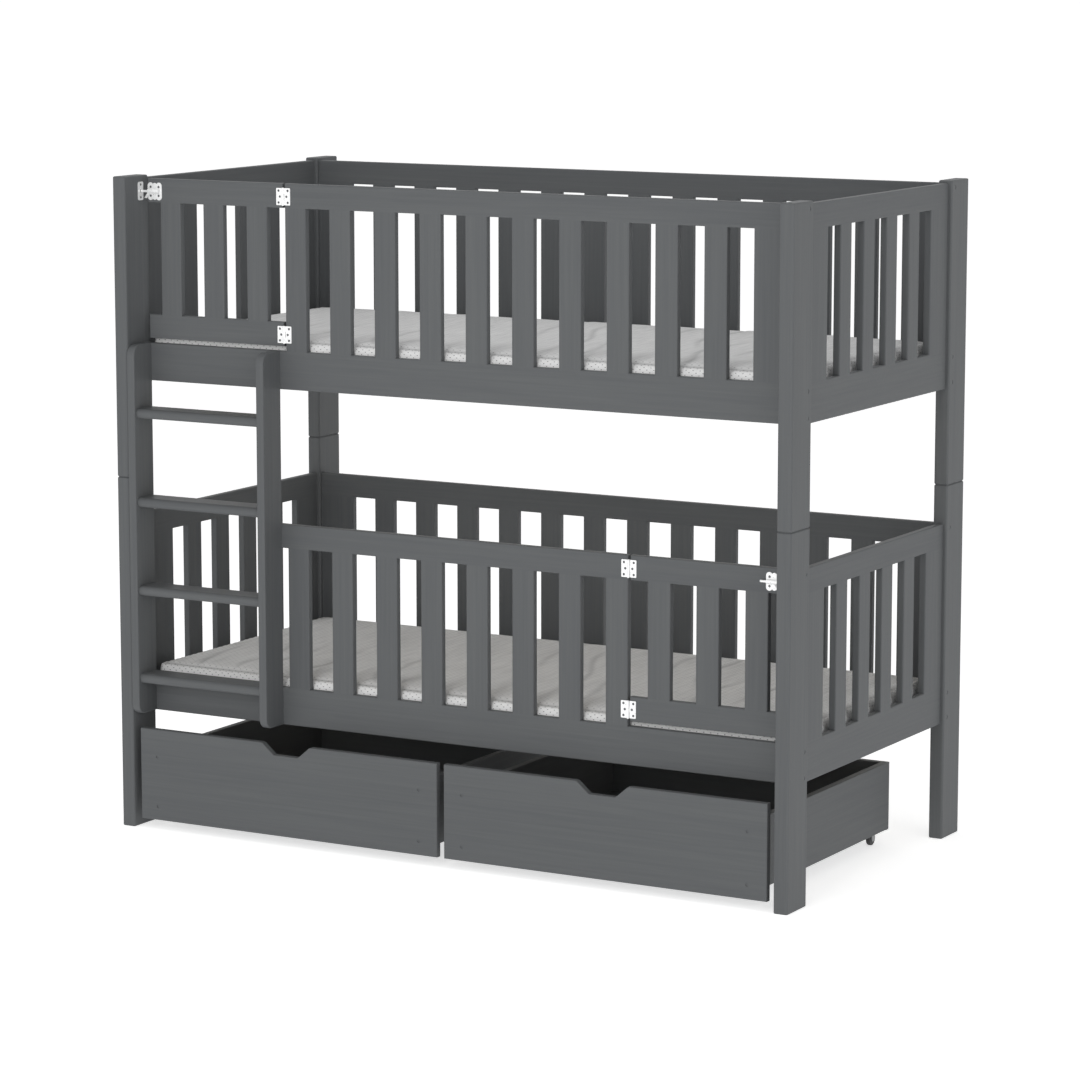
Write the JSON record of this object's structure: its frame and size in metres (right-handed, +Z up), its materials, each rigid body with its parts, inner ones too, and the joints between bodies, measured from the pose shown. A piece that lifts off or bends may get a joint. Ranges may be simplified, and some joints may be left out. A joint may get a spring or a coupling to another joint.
{
  "type": "bunk bed",
  "caption": "Painted pine bunk bed with slatted guards all round, a fixed front ladder, latched swing gates and roll-out drawers under the lower bunk.",
  "frame": {"origin": "on the floor, in the middle of the bed's outline", "axes": "+X along the bed to the viewer's right when facing the ladder side, +Y towards the back, +Z up"},
  "size_m": [1.88, 0.988, 1.65],
  "materials": {
    "grey_painted_pine": "satin grey paint",
    "plain_pine": "planed",
    "zinc_steel": "bright zinc",
    "painted_bolt": "grey paint",
    "mattress_fabric": "knitted cover",
    "castor_bracket": "moulded",
    "castor_wheel": "moulded"
  },
  "bodies": {
    "frame": {"base_ledgers": "plain_pine", "frame_bolts_and_pins": "painted_bolt", "frame_screws": "zinc_steel", "hinge_frame_leaves": "zinc_steel", "hinge_pins": "zinc_steel", "ladder_rungs": "grey_painted_pine", "ladder_stringers": "grey_painted_pine", "latch_keepers": "zinc_steel", "lower_back_rails": "grey_painted_pine", "lower_back_slats": "grey_painted_pine", "lower_base_slats": "plain_pine", "lower_front_rails": "grey_painted_pine", "lower_front_slats": "grey_painted_pine", "lower_left_end_rails": "grey_painted_pine", "lower_left_end_slats": "grey_painted_pine", "lower_mattress": "mattress_fabric", "lower_post_back_left": "grey_painted_pine", "lower_post_back_right": "grey_painted_pine", "lower_post_front_left": "grey_painted_pine", "lower_post_front_right": "grey_painted_pine", "lower_right_end_rails": "grey_painted_pine", "lower_right_end_slats": "grey_painted_pine", "upper_back_rails": "grey_painted_pine", "upper_back_slats": "grey_painted_pine", "upper_base_slats": "plain_pine", "upper_front_rails": "grey_painted_pine", "upper_front_slats": "grey_painted_pine", "upper_left_end_rails": "grey_painted_pine", "upper_left_end_slats": "grey_painted_pine", "upper_mattress": "mattress_fabric", "upper_post_back_left": "grey_painted_pine", "upper_post_back_right": "grey_painted_pine", "upper_post_front_left": "grey_painted_pine", "upper_post_front_right": "grey_painted_pine", "upper_right_end_rails": "grey_painted_pine", "upper_right_end_slats": "grey_painted_pine"},
    "upper_gate": {"upper_gate_hinge_leaves": "zinc_steel", "upper_gate_rails": "grey_painted_pine", "upper_gate_screws": "zinc_steel", "upper_gate_slats": "grey_painted_pine", "upper_latch_case": "zinc_steel"},
    "upper_latch": {"upper_latch_bolt": "zinc_steel"},
    "lower_gate": {"lower_gate_hinge_leaves": "zinc_steel", "lower_gate_rails": "grey_painted_pine", "lower_gate_screws": "zinc_steel", "lower_gate_slats": "grey_painted_pine", "lower_latch_case": "zinc_steel"},
    "lower_latch": {"lower_latch_bolt": "zinc_steel"},
    "left_drawer": {"left_drawer_castor_brackets": "castor_bracket", "left_drawer_floor": "grey_painted_pine", "left_drawer_front": "grey_painted_pine", "left_drawer_walls": "grey_painted_pine"},
    "right_drawer": {"right_drawer_castor_brackets": "castor_bracket", "right_drawer_floor": "grey_painted_pine", "right_drawer_front": "grey_painted_pine", "right_drawer_walls": "grey_painted_pine"},
    "left_drawer_front_castors": {"left_drawer_front_wheels": "castor_wheel"},
    "left_drawer_back_castors": {"left_drawer_back_wheels": "castor_wheel"},
    "right_drawer_front_castors": {"right_drawer_front_wheels": "castor_wheel"},
    "right_drawer_back_castors": {"right_drawer_back_wheels": "castor_wheel"}
  },
  "joints": [
    {"name": "upper_gate_swing", "type": "hinge", "parent": "frame", "child": "upper_gate", "pos_m": [-0.48135, -0.42, 1.4415], "axis": [0, 0, 1], "range_deg": [0, 170]},
    {"name": "lower_gate_swing", "type": "hinge", "parent": "frame", "child": "lower_gate", "pos_m": [0.48135, -0.42, 0.5985], "axis": [0, 0, -1], "range_deg": [0, 170]},
    {"name": "upper_latch_slide", "type": "slide", "parent": "upper_gate", "child": "upper_latch", "axis": [-1, 0, 0], "range_m": [-0.016, 0.009]},
    {"name": "lower_latch_slide", "type": "slide", "parent": "lower_gate", "child": "lower_latch", "axis": [1, 0, 0], "range_m": [0, 0.025]},
    {"name": "left_drawer_roll", "type": "slide", "parent": "frame", "child": "left_drawer", "axis": [0, -1, 0], "range_m": [0, 0.7]},
    {"name": "left_front_castor_spin", "type": "hinge", "parent": "left_drawer", "child": "left_drawer_front_castors", "pos_m": [-0.447, -0.373, 0.0175], "axis": [1, 0, 0], "range_deg": [0, 2292]},
    {"name": "left_back_castor_spin", "type": "hinge", "parent": "left_drawer", "child": "left_drawer_back_castors", "pos_m": [-0.447, 0.247, 0.0175], "axis": [1, 0, 0], "range_deg": [0, 2292]},
    {"name": "right_drawer_roll", "type": "slide", "parent": "frame", "child": "right_drawer", "axis": [0, -1, 0], "range_m": [0, 0.7]},
    {"name": "right_front_castor_spin", "type": "hinge", "parent": "right_drawer", "child": "right_drawer_front_castors", "pos_m": [0.447, -0.373, 0.0175], "axis": [1, 0, 0], "range_deg": [0, 2292]},
    {"name": "right_back_castor_spin", "type": "hinge", "parent": "right_drawer", "child": "right_drawer_back_castors", "pos_m": [0.447, 0.247, 0.0175], "axis": [1, 0, 0], "range_deg": [0, 2292]}
  ],
  "couplings": [
    {"joint": "left_front_castor_spin", "follows": "left_drawer_roll", "rad_per_m": 57.143},
    {"joint": "left_back_castor_spin", "follows": "left_drawer_roll", "rad_per_m": 57.143},
    {"joint": "right_front_castor_spin", "follows": "right_drawer_roll", "rad_per_m": 57.143},
    {"joint": "right_back_castor_spin", "follows": "right_drawer_roll", "rad_per_m": 57.143}
  ]
}
